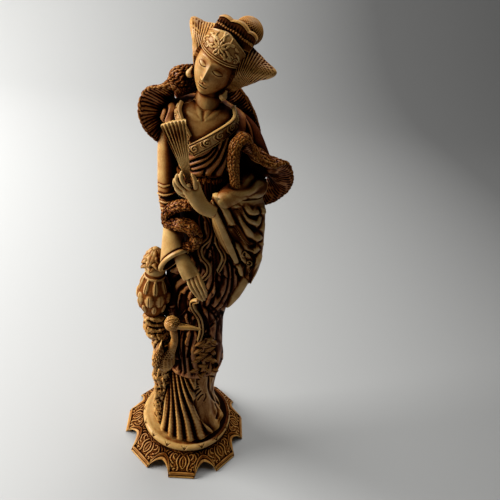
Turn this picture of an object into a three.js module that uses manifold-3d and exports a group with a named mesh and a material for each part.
// Cast resin figurine of a standing lady with a fan, in a long robe and a feathered stole, on a round scalloped base.
// A covered vase on a rock stands at her right side, and a long-tailed bird perches in front of it.
// Every casting is its own solid: it is cut to its neighbours with the glue gap, so each one seats in its own socket.
// Millimetres, +Z up. The origin is at the middle of the underside, and the figurine faces -Y.
import * as THREE from "three";
import { mergeVertices } from "three/addons/utils/BufferGeometryUtils.js";
import Module from "manifold-3d";

const wasm = await Module();
wasm.setup();

// Driving dimensions of the base
const FOOT_COUNT = 8;
const FOOT_RADIUS = 45; // to the corners of the feet
const FOOT_HALF_ANGLE = 12; // degrees, half the width of one foot
const BASE_HEIGHT = 13; // underside to the seat of the round plinth
const ARCH_RISE = 7;
const SKIRT_WALL = 3.2;
const HUB_RADIUS = 24;
const PAD_THICKNESS = 1.2;
const PAD_RADIUS = 22;
const PLINTH_RADIUS = 33;
const PLINTH_THICKNESS = 5;

// Driving dimensions of the figure, in its own frame, whose floor is the top of the plinth
const GLUE_GAP = 0.3;
const SKIRT_TOP = 74;
const ROBE_HEM = 67;
const WAIST_LOW = 190;
const WAIST_HIGH = 205;
const SHOULDER_TOP = 240;
const HEAD_AT = [-7.6, -9.5, 259];
const HEAD_TILT = 21; // degrees, to the figure's left
const HEAD_TURN = 20; // degrees, to the figure's right
const HEAD_NOD = 3;
const HEAD_HALF_WIDTH = 10;
const HEAD_HALF_HEIGHT = 15;
const HEAD_HALF_DEPTH = 12.5;
const WING_SPAN = 25.5; // middle of the head to the tip of a hair wing
const WING_RISE = 21; // degrees, from the middle of the head up to the tip
const BUN_RADIUS = 7.6;
const FAN_LENGTH = 24;
const FAN_SPREAD = 25; // degrees
const FAN_STICKS = 7;
const STOLE_WIDTH = 14;
const STOLE_THICKNESS = 5.4;
const VASE_RADIUS = 10;
const VASE_HEIGHT = 33;
const VASE_AT = [-30, -13.5, 106];
const PETAL_COUNT = 9;
const TAIL_FEATHERS = 7;
const LAPEL_WIDTH = 5.8;
const RIBBON_WIDTH = 3;

// The body under the cloth: height, middle x and y, half width and half depth
const SKIRT_SECTIONS = [
  [0, 0, -3, 27.5, 27],
  [5, -0.5, -3, 25.5, 25.5],
  [16, -1.5, -3, 21, 22.5],
  [36, -2, -3.5, 18.5, 19.5],
  [60, 0, -4, 17.5, 18],
  [SKIRT_TOP, 0.5, -4, 16, 16.5],
];
const ROBE_SECTIONS = [
  [ROBE_HEM, -0.5, -5, 18.5, 19.5],
  [90, -2, -5, 16.8, 17.5],
  [112, -1.5, -4.5, 16.4, 17.5],
  [140, 3, -4, 18.6, 18],
  [165, 2, -3.5, 22.5, 18],
  [WAIST_LOW, -3, -4, 18, 15.5],
  [WAIST_HIGH, -6.5, -5, 15.5, 14],
  [216, -8.5, -6, 18, 15.5],
  [227, -10, -5, 21, 15.5],
  [235, -11, -2.5, 20, 12],
  [SHOULDER_TOP, -11, -1, 10, 8],
];

// Resin finishes, pale where the stain is rubbed off and brown where it is left
const finish = (color, roughness = 0.42) => new THREE.MeshStandardMaterial({ color, roughness, metalness: 0 });
const IVORY = finish(0xd9c08c, 0.38);
const AMBER = finish(0xa9743a);
const WALNUT = finish(0x6e3f1c, 0.5);
const FELT = finish(0x2c3a2c, 0.95);

const vec = (x, y, z) => new THREE.Vector3(x, y, z);
const { degToRad: rad, lerp, smoothstep, clamp } = THREE.MathUtils;
const TAU = 2 * Math.PI;

// A value that runs smoothly through rows of [height, ...values]
function rowsAt(rows, height) {
  let i = 0;
  while (i < rows.length - 2 && height > rows[i + 1][0]) i++;
  const [a, b] = [rows[i], rows[i + 1]];
  const t = clamp((height - a[0]) / (b[0] - a[0]), 0, 1);
  const before = rows[Math.max(i - 1, 0)];
  const after = rows[Math.min(i + 2, rows.length - 1)];
  return a.slice(1).map((_, k) => {
    const slopeA = ((b[k + 1] - before[k + 1]) / Math.max(b[0] - before[0], 1)) * (b[0] - a[0]);
    const slopeB = ((after[k + 1] - a[k + 1]) / Math.max(after[0] - a[0], 1)) * (b[0] - a[0]);
    const t2 = t * t;
    const t3 = t2 * t;
    return (
      (2 * t3 - 3 * t2 + 1) * a[k + 1] + (t3 - 2 * t2 + t) * slopeA +
      (3 * t2 - 2 * t3) * b[k + 1] + (t3 - t2) * slopeB
    );
  });
}

// A point on the cloth of the body: heading is 0 at the front and grows towards the figure's left, in degrees
function onCloth(rows, height, heading, lift = 0) {
  const [cx, cy, rx, ry] = rowsAt(rows, height);
  const a = rad(heading);
  return vec(cx + (rx + lift) * Math.sin(a), cy - (ry + lift) * Math.cos(a), height);
}

// Geometry from points and triangles, with its faces turned outwards
function closed(points, faces) {
  let volume = 0;
  for (const [a, b, c] of faces) volume += points[a].dot(vec(0, 0, 0).crossVectors(points[b], points[c]));
  const turned = volume < 0 ? faces.map(([a, b, c]) => [a, c, b]) : faces;
  const geometry = new THREE.BufferGeometry().setFromPoints(points);
  return geometry.setIndex(turned.flat());
}

// A closed skin over rings of points, with each end ring fanned to its own middle
function skin(rings, sides, point) {
  const points = [];
  const faces = [];
  for (let i = 0; i <= rings; i++) {
    for (let j = 0; j < sides; j++) points.push(point(i / rings, (TAU * j) / sides));
  }
  for (const [ring, turn] of [[0, 1], [rings, -1]]) {
    const middle = vec(0, 0, 0);
    for (let j = 0; j < sides; j++) middle.addScaledVector(points[ring * sides + j], 1 / sides);
    points.push(middle);
    for (let j = 0; j < sides; j++) {
      const [a, b] = [ring * sides + j, ring * sides + ((j + 1) % sides)];
      faces.push(turn > 0 ? [points.length - 1, b, a] : [points.length - 1, a, b]);
    }
  }
  for (let i = 0; i < rings; i++) {
    for (let j = 0; j < sides; j++) {
      const k = (j + 1) % sides;
      const [a, b, c, d] = [i * sides + j, i * sides + k, (i + 1) * sides + j, (i + 1) * sides + k];
      faces.push([a, b, d], [a, d, c]);
    }
  }
  return closed(points, faces);
}

// A thick sheet: a grid of points in front, the same grid behind, and a wall round the edge
function sheet(across, along, front, back) {
  const points = [];
  const faces = [];
  const row = across + 1;
  for (const side of [front, back]) {
    for (let j = 0; j <= along; j++) for (let i = 0; i <= across; i++) points.push(side(i / across, j / along));
  }
  const far = row * (along + 1);
  for (let j = 0; j < along; j++) {
    for (let i = 0; i < across; i++) {
      const a = j * row + i;
      faces.push([a, a + 1, a + row + 1], [a, a + row + 1, a + row]);
      faces.push([far + a, far + a + row + 1, far + a + 1], [far + a, far + a + row, far + a + row + 1]);
    }
  }
  const wall = (a, b) => faces.push([a, far + b, b], [a, far + a, far + b]);
  for (let i = 0; i < across; i++) {
    wall(i, i + 1);
    wall(along * row + i + 1, along * row + i);
  }
  for (let j = 0; j < along; j++) {
    wall((j + 1) * row, j * row);
    wall(j * row + across, (j + 1) * row + across);
  }
  return closed(points, faces);
}

// A bar swept along points. face(u) is the way its flat side looks, and section(u, a) gives [across, out]
function sweep(stops, rings, sides, face, section) {
  const path = new THREE.CatmullRomCurve3(stops);
  return skin(rings, sides, (u, a) => {
    const at = path.getPoint(u);
    const along = path.getTangent(u);
    const across = vec(0, 0, 0).crossVectors(along, face(u, at)).normalize();
    const out = vec(0, 0, 0).crossVectors(across, along).normalize();
    const [x, y] = section(u, a);
    return at.addScaledVector(across, x).addScaledVector(out, y);
  });
}

// A tapered round bar through points, for fingers, stems and beaks
function taper(stops, radii, rings = 4, sides = 8) {
  const rows = radii.map((r, i) => [i / (radii.length - 1), r]);
  const radius = (u) => {
    const x = clamp(u, 0, 1) * (rows.length - 1);
    const i = Math.min(Math.floor(x), rows.length - 2);
    return lerp(rows[i][1], rows[i + 1][1], x - i);
  };
  return sweep(stops.map((p) => vec(...p)), rings, sides, () => vec(0.13, -0.9, 0.4), (u, a) => [
    radius(u) * Math.cos(a),
    radius(u) * Math.sin(a),
  ]);
}

function ball(x, y, z, rx, ry, rz, wide = 12, high = 8) {
  return new THREE.SphereGeometry(1, wide, high).scale(rx, ry, rz).translate(x, y, z);
}

// Solids for cutting and joining
function solidOf(geometry) {
  const bare = geometry.clone();
  bare.deleteAttribute("normal");
  bare.deleteAttribute("uv");
  const merged = mergeVertices(bare, 1e-4);
  return new wasm.Manifold(
    new wasm.Mesh({
      numProp: 3,
      vertProperties: new Float32Array(merged.attributes.position.array),
      triVerts: new Uint32Array(merged.index.array),
    }),
  );
}

function geometryOf(solid) {
  const mesh = solid.getMesh();
  const positions = new Float32Array(mesh.numVert * 3);
  for (let i = 0; i < mesh.numVert; i++) {
    positions.set(mesh.vertProperties.subarray(i * mesh.numProp, i * mesh.numProp + 3), i * 3);
  }
  const geometry = new THREE.BufferGeometry().setAttribute("position", new THREE.BufferAttribute(positions, 3));
  return geometry.setIndex(new THREE.BufferAttribute(new Uint32Array(mesh.triVerts), 1));
}

const joined = (...geometries) => geometryOf(geometries.map(solidOf).reduce((a, b) => a.add(b)));
const less = (from, ...tools) => geometryOf(tools.map(solidOf).reduce((a, b) => a.subtract(b), solidOf(from)));
const shared = (a, b) => geometryOf(solidOf(a).intersect(solidOf(b)));

// The same form, larger by a gap all round
function grown(geometry, gap) {
  const bare = geometry.clone();
  bare.deleteAttribute("normal");
  bare.deleteAttribute("uv");
  const merged = mergeVertices(bare, 1e-4);
  merged.computeVertexNormals();
  const { position, normal } = merged.attributes;
  for (let i = 0; i < position.count; i++) {
    position.setXYZ(
      i,
      position.getX(i) + gap * normal.getX(i),
      position.getY(i) + gap * normal.getY(i),
      position.getZ(i) + gap * normal.getZ(i),
    );
  }
  merged.deleteAttribute("normal");
  return merged;
}

const figurine = new THREE.Group();
const seated = [];

// Adds a casting, cut to every casting before it with the glue gap between them
function cast(name, geometry, material) {
  geometry.computeBoundingBox();
  const box = geometry.boundingBox.clone().expandByScalar(GLUE_GAP);
  let solid = solidOf(geometry);
  for (const other of seated) if (other.box.intersectsBox(box)) solid = solid.subtract(other.room);
  const whole = solid.decompose().sort((a, b) => b.volume() - a.volume())[0];
  const mesh = new THREE.Mesh(geometryOf(whole), material);
  mesh.name = name;
  figurine.add(mesh);
  seated.push({ box, room: solidOf(grown(geometry, GLUE_GAP)).add(solidOf(geometry)) });
}

// The base: a skirt whose lower edge is lifted into an arch between each two feet, with a hub under the plinth
function footedBase() {
  const pitch = TAU / FOOT_COUNT;
  const half = rad(FOOT_HALF_ANGLE);
  const across = [0, 0.5, 1].map((t) => lerp(-half, half, t));
  const overArch = [0.2, 0.5, 0.8].map((t) => lerp(half, pitch - half, t));
  const headings = Array.from({ length: FOOT_COUNT }, (_, i) => [...across, ...overArch].map((a) => a + i * pitch)).flat();
  const segments = headings.length;
  const hubFace = PAD_THICKNESS + GLUE_GAP;
  const profile = (a) => {
    const off = Math.abs(a - pitch * Math.round(a / pitch));
    const t = clamp((off - half) / (pitch / 2 - half), 0, 1);
    const arch = ARCH_RISE * Math.sqrt(1 - (1 - t) * (1 - t));
    const reach = off <= half + 1e-6 ? (FOOT_RADIUS * Math.cos(half)) / Math.cos(off) : FOOT_RADIUS * (1 - 0.05 * t);
    const slope = (z) => lerp(reach, PLINTH_RADIUS - 2, Math.pow(z / BASE_HEIGHT, 1.5));
    const inner = (z) => slope(z) - SKIRT_WALL;
    const ceiling = BASE_HEIGHT - SKIRT_WALL;
    return [
      [0, BASE_HEIGHT],
      [PLINTH_RADIUS - 2, BASE_HEIGHT],
      [slope(lerp(arch, BASE_HEIGHT, 0.5)), lerp(arch, BASE_HEIGHT, 0.5)],
      [slope(arch + 1.6), arch + 1.6],
      [slope(arch + 1.2) + 0.8, arch + 1.2],
      [slope(arch) + 0.8, arch],
      [inner(arch), arch],
      [inner(ceiling), ceiling],
      [HUB_RADIUS, ceiling],
      [HUB_RADIUS, hubFace],
      [0, hubFace],
    ];
  };
  const points = [];
  const faces = [];
  const size = profile(0).length - 2;
  for (const a of headings) {
    for (const [r, z] of profile(a).slice(1, -1)) points.push(vec(r * Math.sin(a), -r * Math.cos(a), z));
  }
  points.push(vec(0, 0, BASE_HEIGHT), vec(0, 0, hubFace));
  for (let j = 0; j < segments; j++) {
    const [p, q] = [j * size, ((j + 1) % segments) * size];
    for (let i = 0; i < size - 1; i++) faces.push([p + i, p + i + 1, q + i + 1], [p + i, q + i + 1, q + i]);
    faces.push([points.length - 2, p, q], [points.length - 1, q + size - 1, p + size - 1]);
  }
  return closed(points, faces);
}

function feltPad() {
  return new THREE.CylinderGeometry(PAD_RADIUS, PAD_RADIUS, PAD_THICKNESS, 32)
    .rotateX(Math.PI / 2)
    .translate(0, 0, PAD_THICKNESS / 2);
}

function plinth() {
  const bottom = BASE_HEIGHT + GLUE_GAP;
  const top = BASE_HEIGHT + PLINTH_THICKNESS;
  const rim = [[0, bottom], [PLINTH_RADIUS - 1.5, bottom]];
  for (let i = 0; i <= 4; i++) {
    const a = rad(-40 + 32.5 * i);
    rim.push([PLINTH_RADIUS - 2.5 + 2.5 * Math.cos(a), (bottom + top) / 2 + ((top - bottom) / 2) * Math.sin(a)]);
  }
  rim.push([PLINTH_RADIUS - 5, top - 0.5], [0, top - 0.5]);
  return new THREE.LatheGeometry(rim.map(([r, z]) => new THREE.Vector2(r, z)), 40).rotateX(Math.PI / 2);
}

// Everything above the plinth is modelled from the figure's own floor and lifted onto the plinth
const FLOOR = BASE_HEIGHT + PLINTH_THICKNESS - 0.5 + GLUE_GAP;
const figure = (name, geometry, material) => cast(name, geometry.translate(0, 0, FLOOR), material);

// The head's own frame: x to the figure's left, y to the back, z up
const headFrame = new THREE.Matrix4().compose(
  vec(...HEAD_AT),
  new THREE.Quaternion().setFromEuler(new THREE.Euler(rad(HEAD_NOD), rad(HEAD_TILT), rad(-HEAD_TURN), "ZYX")),
  vec(1, 1, 1),
);
const inHead = (geometry) => geometry.applyMatrix4(headFrame);

// The plain head form: share is -1 at the chin and 1 at the crown, heading is 0 at the nose
function headPoint(share, heading, lift = 0) {
  const z = share * HEAD_HALF_HEIGHT;
  const round = Math.sqrt(Math.max(1 - share * share, 0.0));
  const jaw = share < 0 ? 1 - 0.34 * share * share : 1;
  const front = Math.cos(heading) > 0;
  const wide = (HEAD_HALF_WIDTH * jaw * Math.pow(round, 0.8) + lift) * Math.sin(heading);
  const deep = (HEAD_HALF_DEPTH * (front ? 0.86 : 1) * Math.pow(round, 0.7) + lift) * Math.cos(heading);
  return vec(wide, -deep, z + lift * share);
}

function face() {
  const bump = (x, middle, width) => Math.exp(-(((x - middle) / width) ** 2));
  const head = skin(11, 16, (u, a) => {
    const share = lerp(-0.995, 0.995, 0.5 - 0.5 * Math.cos(Math.PI * u));
    const p = headPoint(share, a);
    const side = Math.abs(p.x) / HEAD_HALF_WIDTH;
    const front = smoothstep(Math.cos(a), 0.2, 0.8);
    const nose = 2.1 * bump(share, -0.22, 0.16) * bump(side, 0, 0.16) + 0.8 * bump(share, 0.02, 0.22) * bump(side, 0, 0.12);
    const sockets = -0.9 * bump(share, 0.1, 0.12) * bump(side, 0.42, 0.2);
    const lips = 0.7 * bump(share, -0.5, 0.08) * bump(side, 0, 0.26);
    const chin = 0.7 * bump(share, -0.82, 0.14) * bump(side, 0, 0.3);
    p.y -= front * (nose + sockets + lips + chin);
    return p;
  });
  return inHead(head);
}

function neck() {
  return taper([[-10.5, -5, 224], [-10.5, -4.5, 235], [-10, -5.5, 245], [-8.5, -7.5, 255]], [9, 6.6, 5.6, 6], 5, 10);
}

// The hair is drawn back from the face into two stiff pointed wings
function hair() {
  const high = HEAD_HALF_HEIGHT + 1.5;
  const wide = HEAD_HALF_WIDTH + 1.5;
  const outline = [
    [-90, 0.55 * high],
    [-50, 0.84 * high],
    [-15, 1.1 * wide],
    [WING_RISE - 14, 0.72 * WING_SPAN],
    [WING_RISE, WING_SPAN],
    [WING_RISE + 12, 0.8 * WING_SPAN],
    [WING_RISE + 34, high],
    [90, 1.04 * high],
  ];
  const depths = [
    [0, -5, 0.92, 0],
    [1, -1, 1, 0.5],
    [2, 4, 1, 0.95],
    [3, 8, 0.98, 1],
    [4, 12, 0.84, 0.6],
    [5, 15.5, 0.45, 0],
  ];
  return inHead(
    skin(5, 24, (u, a) => {
      const [y, size, flare] = rowsAt(depths, u * (depths.length - 1));
      const up = THREE.MathUtils.radToDeg(Math.atan2(Math.sin(a), Math.abs(Math.cos(a))));
      const [spread] = rowsAt(outline, up);
      const round = 1 / Math.hypot(Math.cos(a) / wide, Math.sin(a) / (up < 0 ? 0.7 * high : high));
      const r = size * lerp(Math.min(spread, round), spread, flare);
      return vec(r * Math.cos(a), y + Math.max(0, -4 * Math.sin(a)) * (1 - u), r * Math.sin(a));
    }),
  );
}

function bun() {
  return inHead(ball(2, 7, HEAD_HALF_HEIGHT + 3.5, BUN_RADIUS, BUN_RADIUS * 0.95, BUN_RADIUS * 0.9, 14, 8));
}

// A domed plate over the forehead, highest in the middle
function browPlate() {
  const at = (u, v, lift) => {
    const heading = lerp(-1.35, 1.35, u);
    const top = lerp(0.45, 0.99, Math.pow(Math.max(Math.cos(heading), 0), 0.6));
    return headPoint(lerp(0.34, top, v), heading, lift);
  };
  return inHead(sheet(8, 2, (u, v) => at(u, v, 1.5), (u, v) => at(u, v, 0.3)));
}

// The comb stands on the crown behind the brow plate, with a scalloped top edge
function comb() {
  const at = (u, v, back) => {
    const heading = lerp(-1.25, 1.25, u);
    const scallop = 1.1 * Math.abs(Math.sin(Math.PI * 2.5 * u + Math.PI / 4));
    const height = HEAD_HALF_HEIGHT + lerp(-3.4, 3.4 + scallop - 3 * (2 * u - 1) ** 2, v);
    return vec(12.2 * Math.sin(heading), -5.8 * Math.cos(heading) + back + 2.2 * v, height);
  };
  return inHead(sheet(15, 1, (u, v) => at(u, v, -0.7), (u, v) => at(u, v, 0.9)));
}

function earring(side) {
  const drop = [[0, -5.2], [1.5, -4.4], [2, -3], [1.4, -1.2], [0.8, 0.4], [0, 1]];
  return inHead(
    new THREE.LatheGeometry(drop.map(([r, z]) => new THREE.Vector2(r, z)), 7)
      .rotateX(Math.PI / 2)
      .translate(side * (HEAD_HALF_WIDTH - 0.5), -2, -7.5),
  );
}

// A hand from its palm and five fingers, each a list of points with its radii
function hand(palm, fingers) {
  const palmBar = sweep(palm.stops.map((p) => vec(...p)), 4, 8, () => vec(...palm.face), (u, a) => {
    const wide = lerp(palm.wrist, palm.knuckles, smoothstep(u, 0.1, 0.9));
    return [wide * Math.cos(a), palm.thick * (1 - 0.15 * u) * Math.sin(a)];
  });
  return joined(palmBar, ...fingers.map((stops) => taper(stops, [1.35, 1.25, 1.05, 0.7], 3, 5)));
}

function fanHand() {
  return hand(
    {
      stops: [[-1, -29.5, 192], [-7, -31, 195], [-12, -31.5, 202], [-14.5, -31.5, 207]],
      face: [0.3, -1, 0.2], wrist: 3.6, knuckles: 4.6, thick: 2.6,
    },
    [
      [[-11.5, -33, 205.5], [-12, -35, 209], [-12.6, -35.6, 212], [-14.4, -35.4, 214.5]],
      [[-13.6, -32.5, 204.5], [-17.5, -34.4, 208.5], [-19, -34.8, 212], [-18.6, -34.4, 215]],
      [[-15, -32, 203], [-19.4, -33, 206.5], [-21, -33.8, 209.8], [-20.6, -34, 213]],
      [[-14.6, -31.6, 201.5], [-19.4, -32, 203.4], [-21.8, -32.6, 206.6], [-22, -33, 209.8]],
      [[-13, -31.2, 199.4], [-17.4, -31, 200.4], [-20.6, -31.4, 203], [-21.4, -32, 206]],
    ],
  );
}

function hangingHand() {
  const tips = [[3.4, 0.4], [1.2, 0.9], [-1.0, 0.6], [-3.2, -0.6]];
  const fingers = tips.map(([across, reach]) => [
    [-8.6 + 0.8 * across, -33.2, 154.6 + 0.5 * across],
    [-5.6 + 0.75 * across, -34.6, 148.6 + 0.5 * across],
    [-2.8 + 0.55 * across + 0.3 * reach, -34.8, 143.2 + 0.4 * across - reach],
    [-0.8 + 0.3 * across + 0.5 * reach, -34.4, 138.8 + 0.3 * across - 1.6 * reach],
  ]);
  const thumb = [[-10.5, -31.6, 158.5], [-6.6, -32.6, 155], [-3.4, -33.4, 150], [-1.4, -33.8, 146]];
  return hand(
    {
      stops: [[-20, -25, 170], [-16.5, -28.5, 164], [-12.5, -31.5, 158], [-9, -33, 153.5]],
      face: [-0.1, -1, 0.35], wrist: 3.4, knuckles: 5.2, thick: 2.3,
    },
    [...fingers, thumb],
  );
}

// The folded fan, a pleated leaf that spreads from its rivet
function fan() {
  const pivot = vec(-15.6, -33.4, 211);
  const lean = rad(-20);
  const at = (u, v, depth) => {
    const reach = lerp(-4.5, FAN_LENGTH, v);
    const a = lean + rad(FAN_SPREAD) * (u - 0.5) * (reach < 0 ? 0.6 : 1);
    const fold = Math.abs(((u * FAN_STICKS) % 1) - 0.5) * 2 - 0.5;
    const pleat = 1.3 * fold * smoothstep(v, 0.25, 1);
    const width = 1.3 * (2 * u - 1) * (1 - v);
    return vec(
      pivot.x + reach * Math.sin(a) + width * Math.cos(a),
      pivot.y + 3.4 * v - depth - pleat,
      pivot.z + reach * Math.cos(a) - width * Math.sin(a),
    );
  };
  return sheet(2 * FAN_STICKS, 5, (u, v) => at(u, v, 1.1), (u, v) => at(u, v, -1.1));
}

// The stole is a strip with feathers on its outer side and fine pleats on its inner side
function strip(stops, face, rings, width = STOLE_WIDTH, turns = 10) {
  return sweep(stops.map((p) => vec(...p)), rings, 8, face, (u, a) => {
    const end = 0.55 + 0.45 * Math.sin(Math.PI * clamp(u, 0.02, 0.98)) ** 0.5;
    const tuft = 1 + 0.16 * Math.sin(TAU * turns * u + (a > Math.PI ? Math.PI : 0));
    return [(width / 2) * end * Math.cos(a), (STOLE_THICKNESS / 2) * end * tuft * Math.sin(a)];
  });
}
// Looks away from the middle of a loop and a little to the back, and from a stretch that faces the front if one is named
const awayFrom = (x, y, z, flatUntil = 0) => (u, at) => {
  const away = at.clone().sub(vec(x, y, z)).normalize().add(vec(0, 0.35, 0));
  return away.lerp(vec(0, -1, 0.5), 1 - smoothstep(u, flatUntil / 2, flatUntil + 0.01)).normalize();
};

function rightLoop() {
  const stops = [[-11, 5, 247], [-19, 0, 249], [-27.5, -3, 246.2], [-34.8, -4.5, 241], [-39.8, -5, 233], [-38.4, -3, 224.6], [-32, 3, 216.5], [-26, 8, 209]];
  return strip(stops, awayFrom(-28, -1, 230, 0.42), 16);
}
function leftLoop() {
  const stops = [[9.5, -23, 204], [7.5, -24.5, 215], [6.4, -23.5, 226], [9.5, -19.5, 230.5], [18, -14.5, 225.5], [29, -8.5, 215.5], [31.5, -4, 203], [28, 4, 190], [19, 11, 181]];
  return strip(stops, awayFrom(16, -8, 206), 18);
}
function backSpan() {
  const stops = [[-13, 12, 246], [-4, 12.5, 243.5], [4, 11.5, 238.5], [10.5, 9.5, 231], [15.5, 8, 221], [17.5, 8, 210]];
  return strip(stops, awayFrom(-5, -8, 226), 10, 12);
}
function wristLoop() {
  const stops = [[-13, -25.5, 192], [-18.4, -24, 190.4], [-24.4, -20, 183.5], [-23.8, -21, 177.8], [-18.4, -25.5, 180.2], [-12.6, -27.5, 180.4], [-8.8, -28, 175.4], [-10.2, -28, 169.6], [-14.5, -27, 168]];
  return strip(stops, () => vec(-0.15, -0.75, 0.6), 18, 6.4, 8);
}

// Sleeves
function upperSleeve() {
  return taper([[-24, 0, 231], [-28.5, -2.5, 218], [-28.5, -6, 203], [-27, -11, 190], [-23.5, -17.5, 180], [-20, -22.5, 172]], [6.6, 6.2, 5.4, 5.2, 4.8, 4.4], 10, 11);
}
function bellCuff() {
  const outer = sweep([vec(-22, -19.5, 176), vec(-20.5, -23, 169), vec(-18.6, -26, 162.5)], 3, 12, () => vec(-0.2, -1, 0.2), (u, a) => {
    const wide = lerp(4.8, 7, u);
    const drop = a > Math.PI / 2 && a < (3 * Math.PI) / 2 ? 1 + 0.35 * u : 1;
    return [wide * drop * Math.cos(a), lerp(4.8, 5.8, u) * Math.sin(a)];
  });
  const point = taper([[-21.5, -22.5, 166], [-23.6, -23.5, 157], [-24.6, -24, 148.5]], [5.2, 2.6, 0.7], 4, 8);
  const mouth = sweep([vec(-19.8, -24.4, 166.5), vec(-18.4, -26.8, 161), vec(-17, -29, 156)], 2, 10, () => vec(-0.2, -1, 0.2), (u, a) => {
    const wide = lerp(4.2, 6.4, u);
    return [wide * Math.cos(a), lerp(3.8, 5, u) * Math.sin(a)];
  });
  return less(joined(outer, point), mouth);
}

// The figure's left sleeve hangs from the raised forearm to a point
function hangingSleeve() {
  const rows = [
    [0, 11, -18, 197, 16.5, 6.2, 37],
    [1, 12.5, -17.5, 190, 18, 6.4, 36],
    [2, 15, -16, 176, 17.5, 5.6, 34],
    [3, 19.5, -14.5, 161, 13.5, 4.6, 32],
    [4, 24, -13, 148, 7.5, 3.4, 30],
    [5, 26, -12.5, 137, 1.6, 1.4, 30],
  ];
  const drape = skin(8, 16, (u, a) => {
    const [cx, cy, cz, wide, thick, heading] = rowsAt(rows, u * (rows.length - 1));
    const h = rad(heading);
    const fold = 1 + 0.16 * Math.sin(5 * Math.cos(a) * 1.6 + 5 * u) * smoothstep(u, 0.05, 0.4);
    const x = wide * Math.cos(a);
    const y = thick * fold * Math.sin(a);
    return vec(cx + x * Math.cos(h) + y * Math.sin(h), cy + x * Math.sin(h) - y * Math.cos(h), cz - 0.18 * x);
  });
  const forearm = taper([[25, -5, 199], [16, -14, 201], [6, -23.5, 199], [-1.5, -28.5, 194.5]], [8, 7, 6, 4.6], 5, 9);
  return joined(drape, forearm);
}
function shoulderSleeve() {
  return taper([[1, 0, 230], [10, -1, 224], [17, -2, 213], [22, -3, 202]], [8.4, 8.4, 8.2, 7.6], 6, 12);
}

// Bands and ribbons laid on the robe
function band(trail, width, thick, rings, rows = ROBE_SECTIONS) {
  const stops = trail.map(([height, heading, lift = 0]) => onCloth(rows, height, heading, thick * 0.3 + lift));
  const outward = (u, at) => {
    const [cx, cy] = rowsAt(rows, at.z);
    return vec(at.x - cx, at.y - cy, 0).normalize();
  };
  return sweep(stops, rings, 4, outward, (u, a) => {
    const [c, s] = [Math.cos(a + Math.PI / 4), Math.sin(a + Math.PI / 4)];
    return [(width / 2) * Math.sign(c) * Math.abs(c) ** 0.5, (thick / 2) * Math.sign(s) * Math.abs(s) ** 0.6];
  });
}
const leftLapel = () => band([[238.4, 68], [235, 42], [229.5, 14], [223.5, -10]], LAPEL_WIDTH, 2.2, 9);
const rightLapel = () => band([[238.4, -66], [235.5, -46], [230.5, -30], [225, -20]], LAPEL_WIDTH * 0.8, 2, 7);
const longRibbon = () =>
  band([[188, -14], [184, -9], [178, -4], [171.5, -7], [164.6, -19], [158.6, -16], [154.2, -6], [149, -3], [143, -9]], RIBBON_WIDTH, 2, 15);
const shortRibbon = () => band([[188, -4], [180, 8], [170, 4], [160, 14], [150, 10]], RIBBON_WIDTH, 2, 11);
const heldRibbon = () =>
  band([[137.4, -8, 12], [130, -14, 6], [122.8, -10, 2.5], [115, 4, 1], [104, 12, 0.6], [96, 8, 0.6]], RIBBON_WIDTH, 2.2, 13);

// Cloth
function robe() {
  return skin(9, 22, (u, a) => {
    const height = lerp(ROBE_HEM, WAIST_LOW, u);
    const heading = THREE.MathUtils.radToDeg(a);
    const hem = (1 - smoothstep(u, 0, 0.12)) * 0.9;
    const drape = 1.1 * Math.sin(9 * a + 3.2 * u * Math.PI) * smoothstep(u, 0.02, 0.2) * (1 - smoothstep(u, 0.8, 1));
    const dip = 3.2 * Math.cos(a + 0.35) * (1 - u) * (1 - smoothstep(u, 0, 0.3));
    const p = onCloth(ROBE_SECTIONS, height, heading, drape + hem);
    p.z -= dip;
    return p;
  });
}
function sash() {
  return skin(3, 24, (u, a) => {
    const height = lerp(WAIST_LOW + GLUE_GAP, WAIST_HIGH, u);
    const roll = 1.2 * Math.sin(Math.PI * clamp(u, 0.04, 0.96));
    return onCloth(ROBE_SECTIONS, height, THREE.MathUtils.radToDeg(a), 0.5 + roll);
  });
}
function bodice() {
  return skin(5, 20, (u, a) => {
    const height = lerp(WAIST_HIGH + GLUE_GAP, SHOULDER_TOP, u);
    const drape = 0.7 * Math.sin(11 * a + 4 * u) * (1 - u) * Math.sin(Math.PI * u);
    return onCloth(ROBE_SECTIONS, height, THREE.MathUtils.radToDeg(a), drape);
  });
}
function chest() {
  const body = skin(5, 20, (u, a) => {
    return onCloth(ROBE_SECTIONS, lerp(214, SHOULDER_TOP + 1.5, u), THREE.MathUtils.radToDeg(a), 0.35);
  });
  const opening = new THREE.Shape([
    new THREE.Vector2(-24, 243),
    new THREE.Vector2(2, 243),
    new THREE.Vector2(-14.8, 227.5),
  ]);
  const wedge = new THREE.ExtrudeGeometry(opening, { depth: 30, bevelEnabled: false })
    .rotateX(Math.PI / 2)
    .translate(0, -4, 0);
  return shared(body, wedge);
}
function underskirt() {
  return skin(6, 30, (u, a) => {
    const height = lerp(0, SKIRT_TOP, Math.pow(u, 1.3));
    const pleat = lerp(1.7, 0.5, smoothstep(u, 0, 0.7)) * (0.5 + 0.5 * Math.cos(12 * a + 2.4 * u)) * smoothstep(-Math.cos(a + 0.5), -1, 0.4);
    return onCloth(SKIRT_SECTIONS, height, THREE.MathUtils.radToDeg(a), pleat - 0.6);
  });
}

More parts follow.
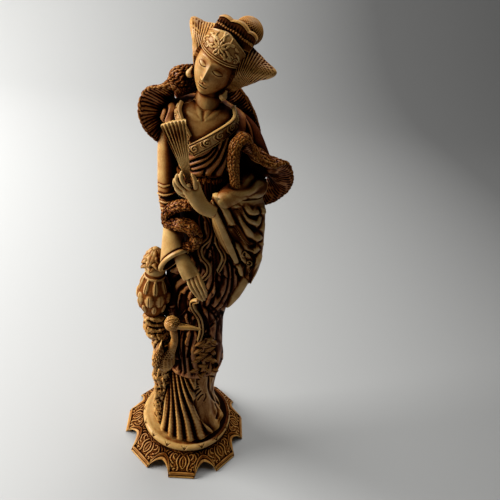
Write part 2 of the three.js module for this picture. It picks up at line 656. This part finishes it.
// The covered vase and its rock
function vase() {
  const share = [[0, 0.52], [0.05, 0.6], [0.2, 0.86], [0.42, 1], [0.62, 0.9], [0.78, 0.62], [0.86, 0.42], [0.93, 0.44], [1, 0.52]];
  return skin(8, 2 * PETAL_COUNT, (u, a) => {
    const [r] = rowsAt(share.map(([h, w]) => [h * 10, w]), u * 10);
    const petal = 1 + 0.055 * Math.abs(Math.cos((PETAL_COUNT * a) / 2)) * Math.sin(Math.PI * clamp(u * 1.25, 0, 1));
    return vec(VASE_RADIUS * r * petal * Math.cos(a), VASE_RADIUS * r * petal * Math.sin(a), u * VASE_HEIGHT);
  }).translate(...VASE_AT);
}
function flowerLid() {
  const layers = [[6, 0.5, 5, 0], [6.6, 4.5, 6, 0.3], [4.6, 9, 5, 0.8]];
  const petals = layers.flatMap(([r, lift, count, turn]) =>
    Array.from({ length: count }, (_, i) => {
      const a = (TAU * i) / count + turn;
      return ball(0.55 * r * Math.cos(a), 0.55 * r * Math.sin(a), lift + 3, 0.52 * r, 0.52 * r, 3.2, 5, 3);
    }),
  );
  const core = skin(3, 8, (u, a) => vec(4 * Math.cos(a), 4 * Math.sin(a), u * 13));
  return joined(core, ...petals).translate(VASE_AT[0] - 0.6, VASE_AT[1], VASE_AT[2] + VASE_HEIGHT + GLUE_GAP);
}
// Rock in rolling ledges under the vase
function rock() {
  const rows = [
    [0, -20.5, -9, 7, 8],
    [22, -21, -9, 6, 7],
    [40, -20, -10, 5.5, 7],
    [62, -21, -11, 6.5, 7.5],
    [84, -22.5, -13, 6.5, 8],
    [97, -26.5, -13.5, 8, 8.5],
    [VASE_AT[2] - GLUE_GAP, VASE_AT[0], VASE_AT[1], 6, 6],
  ];
  return skin(13, 9, (u, a) => {
    const height = u * (VASE_AT[2] - GLUE_GAP);
    const [cx, cy, rx, ry] = rowsAt(rows, height);
    const ledge = 1 + 0.1 * Math.sin(u * 44) + 0.08 * Math.sin(3 * a + 9 * u);
    return vec(cx + rx * ledge * Math.cos(a), cy + ry * ledge * Math.sin(a), height);
  });
}

// The bird, with its tail feathers trailing to the plinth
function birdBody() {
  const body = taper([[-18, -26.4, 73], [-19, -27.4, 80], [-18.6, -28, 87], [-15.8, -29, 94], [-14.6, -30, 103], [-16.6, -30.6, 112]], [3.6, 6, 5.6, 3.2, 2.3, 2.6], 10, 9);
  const head = ball(-16.8, -31, 115.5, 4.6, 4.2, 4.6, 9, 6);
  const beak = taper([[-14, -32.6, 115.6], [-7, -33.4, 115.9], [0.5, -33.4, 115.2]], [2.1, 1.5, 0.45], 3, 6);
  return joined(body, head, beak);
}
function wing(side) {
  const feathers = 5;
  const at = (u, v, lift) => {
    const edge = 5.4 * Math.sin(Math.PI * clamp(v * 0.9 + 0.08, 0, 1)) * (1 + 0.12 * Math.sin(TAU * feathers * v));
    const x = -18.4 + side * 4.6 + side * 1.2 * v;
    return vec(x + (2 * u - 1) * edge * 0.62, -29.6 - 1.8 * Math.sin(Math.PI * u) - lift, 98 - 24 * v + (2 * u - 1) * 1.5);
  };
  return sheet(4, 10, (u, v) => at(u, v, 2.6), (u, v) => at(u, v, -1.8));
}
// The tail is one fan of ribs: they start under the wing and spread over the pooled hem
function tail() {
  const edges = [
    [0, -54, 50],
    [11, -50, 38],
    [30, -50, 18],
    [54, -52, 7],
    [SKIRT_TOP, -52, 3],
  ];
  const steps = 2 * TAIL_FEATHERS;
  const at = (u, v, lift) => {
    const height = lerp(1.2, SKIRT_TOP, 1 - v);
    const [from, to] = rowsAt(edges, height);
    return onCloth(SKIRT_SECTIONS, height, lerp(from, to, u), lift);
  };
  const rib = (u) => (Math.round(u * steps) % 2 ? 2.3 : 0.5);
  return sheet(steps, 6, (u, v) => at(u, v, rib(u)), (u, v) => at(u, v, -1));
}
// A spray of leaves at the figure's left knee
function leaves() {
  const leaf = (height, heading, lean, size) => {
    const root = onCloth(ROBE_SECTIONS, height, heading, 0.2);
    const out = vec(root.x, root.y + 4, 0).normalize();
    const across = vec(-out.y, out.x, 0);
    const tip = root.clone().addScaledVector(across, size * Math.sin(rad(lean))).addScaledVector(out, 1.6).add(vec(0, 0, size * Math.cos(rad(lean))));
    return taper([root.toArray(), root.clone().lerp(tip, 0.5).addScaledVector(out, 1.4).toArray(), tip.toArray()], [2.4, 2.8, 0.7], 2, 5);
  };
  const sprays = [0, 1, 2, 3, 4, 5].map((i) => leaf(71 + 5 * i, 22 + 8 * (i % 3), 120 - 42 * (i % 4), 8.5));
  const stem = band([[68.5, 24], [82, 28], [99, 22]], 5, 3.4, 6);
  return joined(stem, ...sprays);
}

// The castings, from those that stay whole to those that are cut round them
cast("base_foot", footedBase(), AMBER);
cast("felt_pad", feltPad(), FELT);
cast("plinth", plinth(), IVORY);
figure("head", joined(face(), neck()), IVORY);
figure("brow_plate", browPlate(), IVORY);
figure("comb", comb(), AMBER);
figure("bun", bun(), AMBER);
figure("earring_right", earring(-1), IVORY);
figure("earring_left", earring(1), IVORY);
figure("hair", hair(), AMBER);
figure("robe", robe(), WALNUT);
figure("underskirt", underskirt(), AMBER);
figure("sash", sash(), WALNUT);
figure("chest", chest(), IVORY);
figure("bodice", bodice(), WALNUT);
figure("fan", fan(), IVORY);
figure("fan_hand", fanHand(), IVORY);
figure("hanging_hand", hangingHand(), IVORY);
figure("bell_cuff", bellCuff(), IVORY);
figure("upper_sleeve", upperSleeve(), IVORY);
figure("shoulder_sleeve", shoulderSleeve(), WALNUT);
figure("hanging_sleeve", hangingSleeve(), IVORY);
figure("bird_tail", tail(), AMBER);
figure("rock", rock(), AMBER);
figure("vase", vase(), IVORY);
figure("vase_lid", flowerLid(), IVORY);
figure("bird", birdBody(), AMBER);
figure("bird_wing", wing(-1), AMBER);
figure("lapel_left", leftLapel(), IVORY);
figure("lapel_right", rightLapel(), IVORY);
figure("stole_back", backSpan(), WALNUT);
figure("stole_right_loop", rightLoop(), WALNUT);
figure("stole_left_loop", leftLoop(), WALNUT);
figure("stole_wrist_loop", wristLoop(), WALNUT);
figure("ribbon_long", longRibbon(), IVORY);
figure("ribbon_short", shortRibbon(), IVORY);
figure("ribbon_held", heldRibbon(), IVORY);
figure("leaf_spray", leaves(), WALNUT);

export default figurine;
